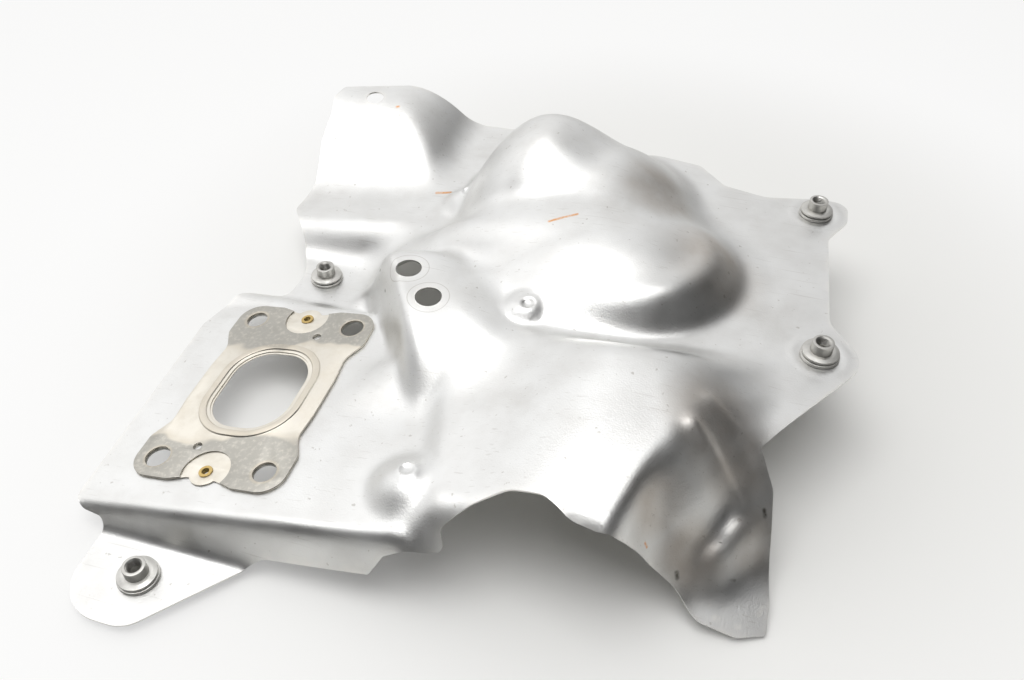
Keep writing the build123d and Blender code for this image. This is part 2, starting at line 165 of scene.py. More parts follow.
def left_height(x, y):
    """Ear, gasket panel, pocket, valley and rear tab."""
    from_wall = blend_max(y - 30, blend_min(x + 74, y + 2, FOLD), 2 * FOLD)
    valley = 20 + 0.1 * (x + 125) + 0.02 * (y - 45)
    ramp = blend_min(22 + 0.68 * (y - 71), 50.0, FOLD)
    tab = blend_min(ramp, 50 - 1.0 * (x + 82), SOFT)
    upper = blend_max(valley, tab, FOLD)
    from_seat = 2 * (y + 6)
    pocket = blend_min(10.0, 10 + 2 * FOLD + from_seat, FOLD)
    rear = blend_max(pocket, blend_min(10 + 1.2 * from_wall, upper, FOLD), FOLD)
    seat = blend_min(SEAT_HEIGHT + SEAT_SLOPE * (x - SEAT_AT[0]), 10 - from_seat, FOLD)
    panel = blend_max(rear, seat, FOLD)
    wall = EAR_HEIGHT + 2.6 * (y + 134.5)
    left = blend_max(EAR_HEIGHT, blend_min(panel, wall, FOLD), FOLD)
    return blend_min(left, 1.2 * (25 - x), FOLD)


def panel_height(x, y):
    bend = blend_max(0.0, 0.03 * (85 - x), FOLD / 4)
    return cut_by(40 + bend, x, y, [((0, -42), -110, 43, 0.6), ((-15, 0), 170, 43, 1.0),
                                    ((104, -60), -55, 40, 1.1), ((40, 117), 130, 43, 1.5)], FOLD)


def tower_height(x, y):
    z = np.full_like(x, TOWER_TOP)
    for heading, reach, slope in [(212, 9.5, 4.0), (140, 27, 2.0), (101, 25, 1.6), (252, 25, 1.2),
                                  (-66, 29, 0.6), (39, 23, 1.0)]:
        h = math.radians(heading)
        edge = (TOWER_AT[0] + reach * math.cos(h), TOWER_AT[1] + reach * math.sin(h))
        z = blend_min(z, slope_face(x, y, edge, heading, TOWER_TOP, slope), SOFT)
    return z


def saddle_height(x, y):
    return cut_by(38 + 0.06 * x, x, y, [((-4, -80), 192, 37, 1.8), ((20, -114), -92, 37, 1.6),
                                       ((60, -80), 0, 40, 1.2), ((0, -40), 90, 38, 0.8)], FOLD)


def bump_height(x, y):
    """Front bump with its cheek, and the flap that falls from it to a lip on the floor."""
    lip_top = GAUGE * math.sqrt(1 + LIP_SLOPE ** 2)
    flap_wall = slope_face(x, y, (74.5, -96.2), FLAP_HEADING, 51, 1.25)
    flap_foot = slope_face(x, y, (72, -95), FLAP_HEADING, 30.5, 0.35)
    flap = blend_max(flap_wall, flap_foot, FOLD)
    lip = slope_face(x, y, LIP_AT, LIP_HEADING, lip_top, LIP_SLOPE)
    step_foot = lip_top + (LIP_SLOPE - STEP_SLOPE) * LIP_WIDTH
    step = slope_face(x, y, LIP_AT, LIP_HEADING, step_foot, STEP_SLOPE)
    cheek = slope_face(x, y, (71, -104), -20, 46, 2.6)
    lip = blend_max(lip, blend_max(step, cheek, FOLD), FOLD / 2)
    top = blend_min(58.0, 58 + 0.16 * (y + 56), FOLD)
    top = cut_by(top, x, y, [((60, -38), 95, 58, 1.1), ((46, -60), 185, 57, 0.5), ((80, -50), 12, 57, 0.62),
                             ((20, -114), -95, 42, 1.6)], FOLD)
    return blend_min(top, blend_min(flap, lip, FOLD), FOLD)


def dome_height(x, y):
    """Big dome with its three lobes, cut by the skirt behind it."""
    dome = crown(x, y, (-2, 76), -6, (42, 56), 75, 45)
    for lobe in [((24, 66), 0, (46, 48), 67, 27), ((2, 30), 5, (58, 28), 55, 28),
                 (FRONT_LOBE_AT, FRONT_LOBE_HEADING, FRONT_LOBE_RADII, 62, 21)]:
        dome = blend_max(dome, crown(x, y, *lobe), SOFT)
    skirt = GAUGE * math.sqrt(1 + SKIRT_SLOPE ** 2) + SKIRT_SLOPE * (SKIRT_END - y)
    return blend_min(dome, skirt, SOFT)


def skin_height(x, y):
    z = blend_max(left_height(x, y), -8.0, FOLD)
    for form in (panel_height, tower_height, saddle_height, bump_height, dome_height):
        z = blend_max(z, form(x, y), FOLD)
    shelf = blend_min(crown(x, y, (11, -15), 0, (10, 10), 52, 12), 47.0, FOLD / 2)
    front_boss = crown(x, y, (-6, -103), 0, (20, 20), 38, 16)
    rear_boss = crown(x, y, (-41, 67), 0, (11, 11), 36, 7)
    for boss in (front_boss, rear_boss, shelf):
        z = blend_max(z, boss, FOLD / 2)
    return z


# Shop tools

def start_clean():
    if bpy.context.object and bpy.context.object.mode != "OBJECT":
        bpy.ops.object.mode_set(mode="OBJECT")
    bpy.ops.object.select_all(action="DESELECT")


def finish_piece(obj, angle=35):
    start_clean()
    obj.select_set(True)
    bpy.context.view_layer.objects.active = obj
    bpy.ops.object.shade_smooth_by_angle(angle=math.radians(angle))
    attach(obj, "root")


def apply_modifier(obj, kind, **values):
    start_clean()
    obj.select_set(True)
    bpy.context.view_layer.objects.active = obj
    modifier = obj.modifiers.new(kind.title(), kind)
    for key, value in values.items():
        setattr(modifier, key, value)
    bpy.ops.object.modifier_apply(modifier=modifier.name)


def nodes_of(name):
    material = bpy.data.materials.new(name)
    material.use_nodes = True
    tree = material.node_tree
    return material, tree.nodes, tree.links, tree.nodes["Principled BSDF"]


def noise(nodes, links, source, scale, detail=4.0, rough=0.55):
    node = nodes.new("ShaderNodeTexNoise")
    node.inputs["Scale"].default_value = scale
    node.inputs["Detail"].default_value = detail
    node.inputs["Roughness"].default_value = rough
    links.new(source, node.inputs["Vector"])
    return node.outputs["Fac"]


def ramp(nodes, links, source, low, high, low_value=0.0, high_value=1.0):
    node = nodes.new("ShaderNodeMapRange")
    node.interpolation_type = "SMOOTHSTEP"
    for key, value in (("From Min", low), ("From Max", high), ("To Min", low_value), ("To Max", high_value)):
        node.inputs[key].default_value = value
    links.new(source, node.inputs["Value"])
    return node.outputs["Result"]


def math_node(nodes, links, operation, a, b):
    node = nodes.new("ShaderNodeMath")
    node.operation = operation
    for socket, value in zip(node.inputs, (a, b)):
        if isinstance(value, (int, float)):
            socket.default_value = value
        else:
            links.new(value, socket)
    return node.outputs["Value"]


def tint(nodes, links, factor, a, b):
    node = nodes.new("ShaderNodeMix")
    node.data_type = "RGBA"
    links.new(factor, node.inputs["Factor"])
    for key, value in (("A", a), ("B", b)):
        socket = [s for s in node.inputs if s.name == key and s.type == "RGBA"][0]
        if isinstance(value, bpy.types.NodeSocket):
            links.new(value, socket)
        else:
            socket.default_value = (*value, 1)
    return [s for s in node.outputs if s.type == "RGBA"][0]


def vector_node(nodes, links, operation, a, b):
    node = nodes.new("ShaderNodeVectorMath")
    node.operation = operation
    for socket, value in zip(node.inputs, (a, b)):
        if isinstance(value, bpy.types.NodeSocket):
            links.new(value, socket)
        else:
            socket.default_value = value
    return node


def spot(nodes, links, source, at, radius, edge):
    """1 inside a round place on the part, 0 outside its soft edge."""
    gap = vector_node(nodes, links, "DISTANCE", source, at).outputs["Value"]
    return ramp(nodes, links, gap, radius + edge, radius, 0.0, 1.0)


def streak(nodes, links, source, start, end, width, edge):
    """1 along a straight mark between two points of the part, 0 outside its soft edge."""
    start, end = Vector(start), Vector(end)
    along = end - start
    offset = vector_node(nodes, links, "SUBTRACT", source, start).outputs["Vector"]
    share = vector_node(nodes, links, "DOT_PRODUCT", offset, along / along.length_squared).outputs["Value"]
    share = math_node(nodes, links, "MINIMUM", math_node(nodes, links, "MAXIMUM", share, 0.0), 1.0)
    scaled = vector_node(nodes, links, "SCALE", along, (0, 0, 0))
    links.new(share, scaled.inputs["Scale"])
    gap = vector_node(nodes, links, "DISTANCE", offset, scaled.outputs["Vector"]).outputs["Value"]
    return ramp(nodes, links, gap, width / 2 + edge, width / 2, 0.0, 1.0)


def place(x, y):
    """Point on the skin, in metres, from a plan position in millimetres."""
    z = float(skin_height(np.array([x], float), np.array([y], float))[0])
    return ((x + SHIFT[0]) * MM, (y + SHIFT[1]) * MM, z * MM)


# Sheet

CLINCHES = [(-8, -101), (12, -16), (-41, 67)]
CLINCH_RINGS, CLINCH_CLEAR = (0.8, 1.6, 2.3, 3.0, 3.8, 4.8), 5.4
TOWER_HOLES = [(-41.5, -9.5), (-27.5, -24.0)]
LEDGE_AT = (102, -87.5)
# Each rib: start, end, height and half width. Each patch of brown film and painted shade on a right-facing
# wall: middle, radius and soft edge.
RIBS = [((85, -66), (105, -76), 2.3, 3.0), ((89, -52), (110, -60), 0.8, 2.6),
        ((87, -94), (104, -88), -0.5, 1.8)]
FILM_AND_SHADE_PATCHES = [((82, 26), 8, 22), ((92, -58), 6, 20), ((102, -66), 6, 16), ((78, -94), 4, 14), ((92, -98), 6, 14),
        ((114, -82), 4, 14), ((51, 62), 8, 16)]
# Each mark: start, end and width.
RUST_MARKS = [((10.2, 24.5), (21.1, 29.4), 0.7), ((-59.6, 73.0), (-53.0, 74.6), 0.9),
              ((-94.8, 112.9), (-94.0, 113.2), 0.8), ((77.0, -104.0), (77.8, -104.2), 0.5)]
DIRT_MARKS = [((106.0, -96.0), (109.0, -94.8), 0.8), ((115.0, -72.9), (115.6, -74.4), 0.9),
              ((89.7, -103.5), (89.2, -102.6), 0.9), ((-58.8, -1.8), (-58.5, -2.2), 0.7),
              ((-51.8, -13.4), (-51.6, -13.8), 0.7), ((88.7, -93.9), (104.4, -87.9), 0.3)]
PALE_CHIPS = [((104.6, -108.9), (105.6, -108.6), 1.3), ((112.6, -108.9), (113.4, -108.6), 1.0),
              ((102.2, -105.3), (102.6, -105.1), 0.5), ((119.4, -102.4), (120.2, -99.6), 0.9)]


def rim_loops(mesh):
    """Plan polylines of the sheet's edge and holes, read from the top rim of the solid."""
    work = bmesh.new()
    work.from_mesh(mesh)
    bmesh.ops.remove_doubles(work, verts=work.verts, dist=1e-6)
    partners = {}
    for edge in work.edges:
        if len(edge.link_faces) != 2:
            continue
        walls = [f for f in edge.link_faces if abs(f.normal.z) < 0.2]
        skins = [f for f in edge.link_faces if f.normal.z >= 0.2]
        if len(walls) == 1 and len(skins) == 1:
            a, b = edge.verts
            partners.setdefault(a.index, []).append(b.index)
            partners.setdefault(b.index, []).append(a.index)
    work.verts.ensure_lookup_table()
    loops, seen = [], set()
    for first in partners:
        if first in seen:
            continue
        loop, here = [], first
        while here is not None and here not in seen:
            seen.add(here)
            loop.append(work.verts[here].co.xy.copy())
            here = next((n for n in partners[here] if n not in seen), None)
        if len(loop) > 8:
            loops.append(rounded([pushed(point) for point in loop]))
    work.free()
    return loops


def pushed(point):
    """Moves a rim point out under the bump's front cheek, which is fuller here than on the solid."""
    away = (point - Vector(place(*CHEEK_AT)[:2])).length / (CHEEK_REACH * MM)
    return point + Vector(CHEEK_PUSH) * MM * math.exp(-away ** 2)


def rounded(loop):
    """The same rim with a point added on the round of each short step, so that arcs show no flats."""
    finer = []
    for i, here in enumerate(loop):
        before, after, beyond = loop[i - 1], loop[(i + 1) % len(loop)], loop[(i + 2) % len(loop)]
        middle = (here + after) / 2
        steps = [here - before, after - here, beyond - after]
        turns = [math.degrees(abs(a.angle_signed(b))) for a, b in zip(steps, steps[1:])]
        lengths = [step.length for step in steps]
        if max(turns) < 35 and max(lengths) < 3 * min(lengths):
            middle += (here + after - before - beyond) / 16
        finer += [here, middle]
    return finer


def inside(points, loop):
    px, py = points[:, 0], points[:, 1]
    result = np.zeros(len(points), bool)
    for (ax, ay), (bx, by) in zip(loop, loop[1:] + loop[:1]):
        crosses = (ay > py) != (by > py)
        with np.errstate(divide="ignore", invalid="ignore"):
            result ^= crosses & (px < (bx - ax) * (py - ay) / (by - ay) + ax)
    return result


def rim_distance(points, loops):
    """Distance of each plan point from the nearest rim."""
    found = np.full(len(points), 1.0)
    for loop in loops:
        for a, b in zip(loop, loop[1:] + loop[:1]):
            a, b = np.array(a), np.array(b)
            along = b - a
            t = np.clip(((points - a) @ along) / max(along @ along, 1e-18), 0, 1)
            found = np.minimum(found, np.linalg.norm(points - (a + t[:, None] * along), axis=1))
    return found


def skin_points(loops, pitch):
    """Even plan points inside the rims, with closer rings round the clinch marks."""
    outer = max(loops, key=lambda loop: max(p.x for p in loop) - min(p.x for p in loop))
    corners = np.array([(p.x, p.y) for p in outer])
    low, high = corners.min(0), corners.max(0)
    rows = np.arange(low[1], high[1], pitch * 0.866)
    rings = []
    for x, y in CLINCHES:
        for radius in CLINCH_RINGS:
            turn = np.linspace(0, 2 * math.pi, 20, endpoint=False) + radius
            rings += [((x + SHIFT[0] + radius * math.cos(t)) * MM, (y + SHIFT[1] + radius * math.sin(t)) * MM)
                      for t in turn]
    points = [(x + (pitch / 2 if i % 2 else 0), y) for i, y in enumerate(rows)
              for x in np.arange(low[0], high[0], pitch)]
    points = np.array(points)
    for x, y in CLINCHES:
        centre = np.array([(x + SHIFT[0]) * MM, (y + SHIFT[1]) * MM])
        points = points[np.linalg.norm(points - centre, axis=1) > CLINCH_CLEAR * MM]
    points = np.vstack([points, rings])
    keep = inside(points, [(p.x, p.y) for p in outer])
    for loop in loops:
        plan = [(p.x, p.y) for p in loop]
        if loop is not outer:
            keep &= ~inside(points, plan)
        keep &= rim_distance(points, [plan]) >= pitch * 0.45
    return points[keep], outer


def pressed_mesh(loops, settings):
    points, outer = skin_points(loops, settings.pitch)
    verts, edges = [], []
    for loop in loops:
        start = len(verts)
        verts += [p.to_2d() for p in loop]
        edges += [(start + i, start + (i + 1) % len(loop)) for i in range(len(loop))]
    verts += [Vector(p) for p in points]
    plan, _, triangles, *_ = delaunay_2d_cdt(verts, edges, [], 1, 1e-7)
    flat = np.array([(p.x, p.y) for p in plan])
    x, y = flat[:, 0] / MM - SHIFT[0], flat[:, 1] / MM - SHIFT[1]
    z = skin_height(x, y) + wear_height(x, y, settings)
    centres = flat[np.array(triangles)].mean(axis=1)
    keep = inside(centres, [(p.x, p.y) for p in outer])
    for loop in loops:
        if loop is not outer:
            keep &= ~inside(centres, [(p.x, p.y) for p in loop])
    mesh = bpy.data.meshes.new("pressed_sheet")
    mesh.from_pydata([(a, b, c * MM) for (a, b), c in zip(flat, z)], [],
                     [t for t, good in zip(triangles, keep) if good])
    rim = mesh.attributes.new("rim", "FLOAT", "POINT")
    rim.data.foreach_set("value", np.exp(-rim_distance(flat, loops) / (1.3 * MM)).astype(np.float32))
    return mesh


def ledge_height(x, y):
    """Ledge across the flap: the slope eases over it and steepens above and below."""
    h = math.radians(-30)
    east, north = x - LEDGE_AT[0], y - LEDGE_AT[1]
    down = east * math.cos(h) + north * math.sin(h)
    side = north * math.cos(h) - east * math.sin(h)
    return 6.0 * (down / 6.5) * np.exp(-(down / 6.5) ** 2 - (side / 14) ** 4)


def nose_height(x, y):
    """Steeper wall round the right end of the dome's front lobe."""
    h = math.radians(FRONT_LOBE_HEADING)
    east, north = x - FRONT_LOBE_AT[0], y - FRONT_LOBE_AT[1]
    u = (east * math.cos(h) + north * math.sin(h)) / FRONT_LOBE_RADII[0]
    v = (north * math.cos(h) - east * math.sin(h)) / FRONT_LOBE_RADII[1]
    q = np.hypot(u, v)
    sector = np.exp(-((np.degrees(np.arctan2(v, u)) + 30) / 62) ** 4)
    return sector * (2.6 * np.exp(-((q - 0.70) / 0.14) ** 2) - 2.6 * np.exp(-((q - 0.95) / 0.12) ** 2))


def wear_height(x, y, settings):
    """Clinch marks, ribs, the flap's ledge, the lobe's wall and the slight unevenness of a used pressing."""
    rise = np.zeros_like(x)
    for cx, cy in CLINCHES:
        r = np.hypot(x - cx, y - cy)
        rise += 0.45 * np.exp(-((r - 3.4) / 0.8) ** 2) - settings.dimple_depth / MM * np.exp(-(r / 2.2) ** 4)
    for cx, cy in RIGHT_SEATS:
        rise += 0.4 * np.exp(-((np.hypot(x - cx, y - cy) - 10.4) / 0.9) ** 2)
    for start, end, height, width in RIBS:
        along = np.subtract(end, start)
        t = ((x - start[0]) * along[0] + (y - start[1]) * along[1]) / (along @ along)
        gap = np.hypot(x - start[0] - np.clip(t, 0, 1) * along[0], y - start[1] - np.clip(t, 0, 1) * along[1])
        rise += height * np.exp(-(gap / width) ** 2)
    ripple = 0.10 * np.sin(x / 9.1 + 1.3 * np.sin(y / 23)) * np.sin(y / 11.3 + 0.7 + np.sin(x / 31))
    rise += ledge_height(x, y) + nose_height(x, y)
    flat_seat = np.exp(-(np.hypot((x - SEAT_AT[0]) / 46, (y - SEAT_AT[1]) / 62)) ** 6)
    for cx, cy in FASTENERS.values():
        flat_seat = np.maximum(flat_seat, np.exp(-(np.hypot(x - cx, y - cy) / 9) ** 6))
    return rise + ripple * (1 - flat_seat)


def sheet_material(settings):
    """Satin aluminised steel with brown patches that are partly baked film and partly painted shade on the
    walls that face right, scratches, washer marks, worn rims and a few other marks.
    """
    material, nodes, links, shader = nodes_of("aluminised_sheet")
    where = nodes.new("ShaderNodeTexCoord").outputs["Object"]
    cloud = noise(nodes, links, where, 60, 5)
    grime = ramp(nodes, links, noise(nodes, links, where, 22, 8, 0.65), 0.50, 0.78)
    colour = tint(nodes, links, ramp(nodes, links, cloud, 0.3, 0.7, 0, 0.14), settings.metal, settings.stain)
    colour = tint(nodes, links, math_node(nodes, links, "MULTIPLY", grime, 0.22), colour, settings.stain)

    # Brown patches on the right-facing walls of the dome, the bump and the flap: partly baked film, partly
    # painted shade where these walls face the darker side of the room.
    film_and_shade = 0.0
    for (x, y), radius, edge in FILM_AND_SHADE_PATCHES:
        mark = spot(nodes, links, where, place(x, y), radius * MM, edge * MM)
        film_and_shade = math_node(nodes, links, "MAXIMUM", film_and_shade, mark)
    patchy = ramp(nodes, links, noise(nodes, links, where, 48, 6, 0.6), 0.25, 0.75, 0.25, 0.60)
    film_and_shade = math_node(nodes, links, "MULTIPLY", film_and_shade, patchy)
    colour = tint(nodes, links, film_and_shade, colour, settings.film_and_shade)

    drawn = nodes.new("ShaderNodeMapping")
    drawn.inputs["Rotation"].default_value = (0, 0, math.radians(28))
    drawn.inputs["Scale"].default_value = (40, 1500, 900)
    links.new(where, drawn.inputs["Vector"])
    scratches = ramp(nodes, links, noise(nodes, links, drawn.outputs["Vector"], 1, 2, 0.4), 0.66, 0.74)
    colour = tint(nodes, links, math_node(nodes, links, "MULTIPLY", scratches, 0.22), colour, settings.stain)
    specks = ramp(nodes, links, noise(nodes, links, where, 420, 2, 0.5), 0.70, 0.76)
    colour = tint(nodes, links, math_node(nodes, links, "MULTIPLY", specks, 0.45), colour, settings.stain)

    seats = 0.0
    for at in TOWER_HOLES:
        disc = spot(nodes, links, where, place(*at), 8.3 * MM, 0.6 * MM)
        seats = math_node(nodes, links, "MAXIMUM", seats, disc)
    outline = math_node(nodes, links, "MULTIPLY", seats, math_node(nodes, links, "SUBTRACT", 1.0, seats))
    colour = tint(nodes, links, math_node(nodes, links, "MULTIPLY", seats, 0.08), colour, settings.worn)
    colour = tint(nodes, links, math_node(nodes, links, "MULTIPLY", outline, 2.0), colour, settings.stain)

    ragged = ramp(nodes, links, noise(nodes, links, where, 700, 3, 0.5), 0.35, 0.6, 0.55, 0.95)
    for marks, shade in ((RUST_MARKS, settings.rust), (DIRT_MARKS, settings.dirt),
                         (PALE_CHIPS, settings.worn)):
        for start, end, width in marks:
            mark = streak(nodes, links, where, place(*start), place(*end), width / 4 * MM, width * 1.4 * MM)
            colour = tint(nodes, links, math_node(nodes, links, "MULTIPLY", mark, ragged), colour, shade)

    rim = nodes.new("ShaderNodeAttribute")
    rim.attribute_name = "rim"
    worn = math_node(nodes, links, "MULTIPLY", rim.outputs["Fac"],
                     ramp(nodes, links, noise(nodes, links, where, 130, 4, 0.6), 0.35, 0.65, 0.15, 0.9))
    colour = tint(nodes, links, worn, colour, settings.worn)
    links.new(colour, shader.inputs["Base Color"])
    shader.inputs["Metallic"].default_value = 1.0

    rough = ramp(nodes, links, noise(nodes, links, where, 35, 6, 0.6), 0.3, 0.7, 0.33, 0.46)
    rough = math_node(nodes, links, "ADD", rough, math_node(nodes, links, "MULTIPLY", film_and_shade, 0.12))
    links.new(math_node(nodes, links, "ADD", rough, math_node(nodes, links, "MULTIPLY", seats, 0.06)),
              shader.inputs["Roughness"])
    grain = nodes.new("ShaderNodeBump")
    grain.inputs["Strength"].default_value = 0.22
    grain.inputs["Distance"].default_value = 0.0003
    links.new(noise(nodes, links, where, 1500, 3), grain.inputs["Height"])
    links.new(grain.outputs["Normal"], shader.inputs["Normal"])
    return material


class HEATSHIELD_OT_sheet(bpy.types.Operator):
    """Presses the sheet: skin, edge, holes, clinch marks and finish"""
    bl_idname = "heatshield.sheet"
    bl_label = "Pressed sheet"

    def execute(self, context):
        settings = context.scene.heatshield_sheet
        loops = rim_loops(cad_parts["shield_sheet"].data)
        if len(loops) < 10:
            raise RuntimeError("the sheet's rim and holes were not found")
        mesh = pressed_mesh(loops, settings)
        sheet = bpy.data.objects.new("pressed_sheet", mesh)
        context.collection.objects.link(sheet)
        apply_modifier(sheet, "SOLIDIFY", thickness=settings.thickness, offset=-1, use_even_offset=True)
        sheet.data.materials.append(sheet_material(settings))
        finish_piece(sheet, 40)
        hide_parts("shield_sheet")
        return {"FINISHED"}


# Gasket and eyelets

SEAT = Vector((SEAT_AT[0] + SHIFT[0], SEAT_AT[1] + SHIFT[1], SEAT_HEIGHT)) * MM
SEAT_TILT = math.atan(SEAT_SLOPE)
STUD_AT = (23.7, 40.4)
PORT_HALF, PORT_ROUND = (17.0, 21.0), 14.5


def seat_coordinates(nodes, links, where):
    """Distances across and along the gasket from its middle, as two sockets."""
    local = vector_node(nodes, links, "SUBTRACT", where, SEAT).outputs["Vector"]
    across = vector_node(nodes, links, "DOT_PRODUCT", local,
                         (math.cos(SEAT_TILT), 0, math.sin(SEAT_TILT))).outputs["Value"]
    along = vector_node(nodes, links, "DOT_PRODUCT", local, (0, 1, 0)).outputs["Value"]
    return across, along


def port_distance(nodes, links, across, along):
    """Distance outside the port's rounded edge."""
    pulls = []
    for value, half in zip((across, along), PORT_HALF):
        size = math_node(nodes, links, "ABSOLUTE", value, 0.0)
        past = math_node(nodes, links, "SUBTRACT", size, (half - PORT_ROUND) * MM)
        pulls.append(math_node(nodes, links, "MAXIMUM", past, 0.0))
    squares = [math_node(nodes, links, "MULTIPLY", pull, pull) for pull in pulls]
    reach = math_node(nodes, links, "SQRT", math_node(nodes, links, "ADD", *squares), 0.0)
    return math_node(nodes, links, "SUBTRACT", reach, PORT_ROUND * MM)


def gasket_material(settings, stained):
    """Bright steel gone cream round the port, with grey heat-stained lobes and a tan bead."""
    material, nodes, links, shader = nodes_of("stained_gasket" if stained else "pale_gasket")
    where = nodes.new("ShaderNodeTexCoord").outputs["Object"]
    across, along = seat_coordinates(nodes, links, where)
    mottle = noise(nodes, links, where, 150, 6, 0.62)
    colour = tint(nodes, links, ramp(nodes, links, mottle, 0.35, 0.75, 0, 0.30), settings.metal, settings.tan)
    rough = ramp(nodes, links, mottle, 0.3, 0.7, 0.30, 0.46)
    if stained:
        wander = ramp(nodes, links, noise(nodes, links, where, 42, 2, 0.45), 0.25, 0.75, -7 * MM, 7 * MM)
        reach = math_node(nodes, links, "ADD", math_node(nodes, links, "ABSOLUTE", along, 0.0), wander)
        lobes = ramp(nodes, links, reach, 26.5 * MM, 29.5 * MM)
        halo = ramp(nodes, links, reach, 22 * MM, 28 * MM)
        colour = tint(nodes, links, math_node(nodes, links, "MULTIPLY", halo, 0.4), colour, settings.tan)
        colour = tint(nodes, links, math_node(nodes, links, "MULTIPLY", lobes, 0.85), colour, settings.stain)
        from_port = port_distance(nodes, links, across, along)
        bead = math_node(nodes, links, "MULTIPLY", ramp(nodes, links, from_port, 1.8 * MM, 2.4 * MM),
                         ramp(nodes, links, from_port, 5.5 * MM, 5.0 * MM))
        colour = tint(nodes, links, math_node(nodes, links, "MULTIPLY", bead, 0.45), colour, settings.tan)
        for u in (-STUD_AT[0], STUD_AT[0]):
            for v in (-STUD_AT[1], STUD_AT[1]):
                at = SEAT + Vector((u * math.cos(SEAT_TILT), v, u * math.sin(SEAT_TILT))) * MM
                ring = spot(nodes, links, where, at, 5.4 * MM, 0.9 * MM)
                share = math_node(nodes, links, "MULTIPLY", ring, 0.5)
                colour = tint(nodes, links, share, colour, settings.tan)
        fine = ramp(nodes, links, noise(nodes, links, where, 600, 3), 0.45, 0.75, 0.0, 0.35)
        colour = tint(nodes, links, math_node(nodes, links, "MULTIPLY", fine, lobes), colour, settings.metal)
    links.new(colour, shader.inputs["Base Color"])
    shader.inputs["Metallic"].default_value = 1.0
    links.new(rough, shader.inputs["Roughness"])
    return material


def plain_metal(name, colour, low, high):
    material, nodes, links, shader = nodes_of(name)
    where = nodes.new("ShaderNodeTexCoord").outputs["Object"]
    mottle = noise(nodes, links, where, 260, 4)
    links.new(tint(nodes, links, ramp(nodes, links, mottle, 0.3, 0.75, 0, 0.4), colour,
                   tuple(c * 0.55 for c in colour)), shader.inputs["Base Color"])
    shader.inputs["Metallic"].default_value = 1.0
    links.new(ramp(nodes, links, mottle, 0.3, 0.7, low, high), shader.inputs["Roughness"])
    return material


def stamped_copy(node, name, edge):
    """Copy of a stamped layer with its cut edges slightly rounded."""
    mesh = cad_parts[node].data.copy()
    mesh.materials.clear()
    piece = bpy.data.objects.new(name, mesh)
    bpy.context.collection.objects.link(piece)
    start_clean()
    piece.select_set(True)
    bpy.context.view_layer.objects.active = piece
    bpy.ops.object.mode_set(mode="EDIT")
    bpy.ops.mesh.select_all(action="SELECT")
    bpy.ops.mesh.remove_doubles(threshold=1e-6)
    bpy.ops.mesh.dissolve_limited(angle_limit=math.radians(0.5))
    bpy.ops.object.mode_set(mode="OBJECT")
    apply_modifier(piece, "BEVEL", width=edge, segments=2, limit_method="ANGLE", angle_limit=math.radians(45))
    return piece


def dress(node, material):
    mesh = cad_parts[node].data
    mesh.materials.clear()
    mesh.materials.append(material)


class HEATSHIELD_OT_gasket(bpy.types.Operator):
    """Finishes the two gasket layers and the brass eyelets that hold them"""
    bl_idname = "heatshield.gasket"
    bl_label = "Gasket and eyelets"

    def execute(self, context):
        settings = context.scene.heatshield_gasket
        for node, stained in (("gasket_lower_layer", False), ("gasket_upper_layer", True)):
            layer = stamped_copy(node, f"stamped_{node}", settings.edge)
            layer.data.materials.append(gasket_material(settings, stained))
            finish_piece(layer, 30)
            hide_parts(node)
        brass = plain_metal("eyelet_brass", settings.brass, 0.25, 0.42)
        for node in ("front_eyelet", "rear_eyelet"):
            dress(node, brass)
        return {"FINISHED"}


# Captive fasteners

def turned_piece(name, profile, at, steps):
    """Ring spun from a closed profile of radius and height, in millimetres above the sheet."""
    start_clean()
    x, y, z = place(*at)
    bpy.ops.mesh.primitive_plane_add(size=1, location=(0, 0, 0))
    piece = bpy.context.object
    piece.name = piece.data.name = name
    work = bmesh.new()
    verts = [work.verts.new((x + r * MM, y, z + h * MM)) for r, h in profile]
    for a, b in zip(verts, verts[1:] + verts[:1]):
        work.edges.new((a, b))
    work.to_mesh(piece.data)
    work.free()
    bpy.ops.object.mode_set(mode="EDIT")
    bpy.ops.mesh.select_all(action="SELECT")
    bpy.ops.mesh.spin(steps=steps, angle=2 * math.pi, center=(x, y, z), axis=(0, 0, 1))
    bpy.ops.mesh.select_all(action="SELECT")
    bpy.ops.mesh.remove_doubles(threshold=1e-6)
    bpy.ops.mesh.normals_make_consistent(inside=False)
    bpy.ops.object.mode_set(mode="OBJECT")
    return piece


def sleeve_profile():
    """Collar with ring grooves that stand for the thread, a relief below and a foot under the washers."""
    outer, bore, top, groove = 4.2, 2.5, 7.5, 0.85
    profile = [(bore + 0.6, top), (outer - 0.3, top), (outer - 0.08, top - 0.08), (outer, top - 0.3)]
    profile += [(outer, -2.0), (5.7, -2.0), (5.8, -2.1), (5.8, -3.5), (5.7, -3.6), (3.1, -3.6), (3.1, 3.0)]
    level = 3.6
    profile.append((bore, level))
    for _ in range(4):
        profile += [(bore + 0.05, level + 0.10), (bore + 0.45, level + 0.38), (bore + 0.45, level + 0.46),
                    (bore + 0.05, level + 0.74), (bore, level + groove)]
        level += groove
    return profile


def washer_profiles():
    """Closed profiles of the three washers, of radius and height above the sheet."""
    inner = 4.25
    ring = [(inner, 0.15), (7.5, 0.15), (7.6, 0.25), (7.6, 1.05), (7.5, 1.25), (7.3, 1.35), (inner, 1.35)]
    cone = [(inner, 1.4), (6.0, 1.4), (6.0, 1.9), (7.1, 1.9), (7.2, 2.0), (7.2, 2.65), (7.1, 2.8),
            (5.7, 3.24), (5.4, 3.3), (inner, 3.3)]
    under = [(inner, -1.95), (7.2, -1.95), (7.3, -1.85), (7.3, -1.05), (7.2, -0.95), (inner, -0.95)]
    return {"ring_washer": ring, "cone_washer": cone, "under_washer": under}


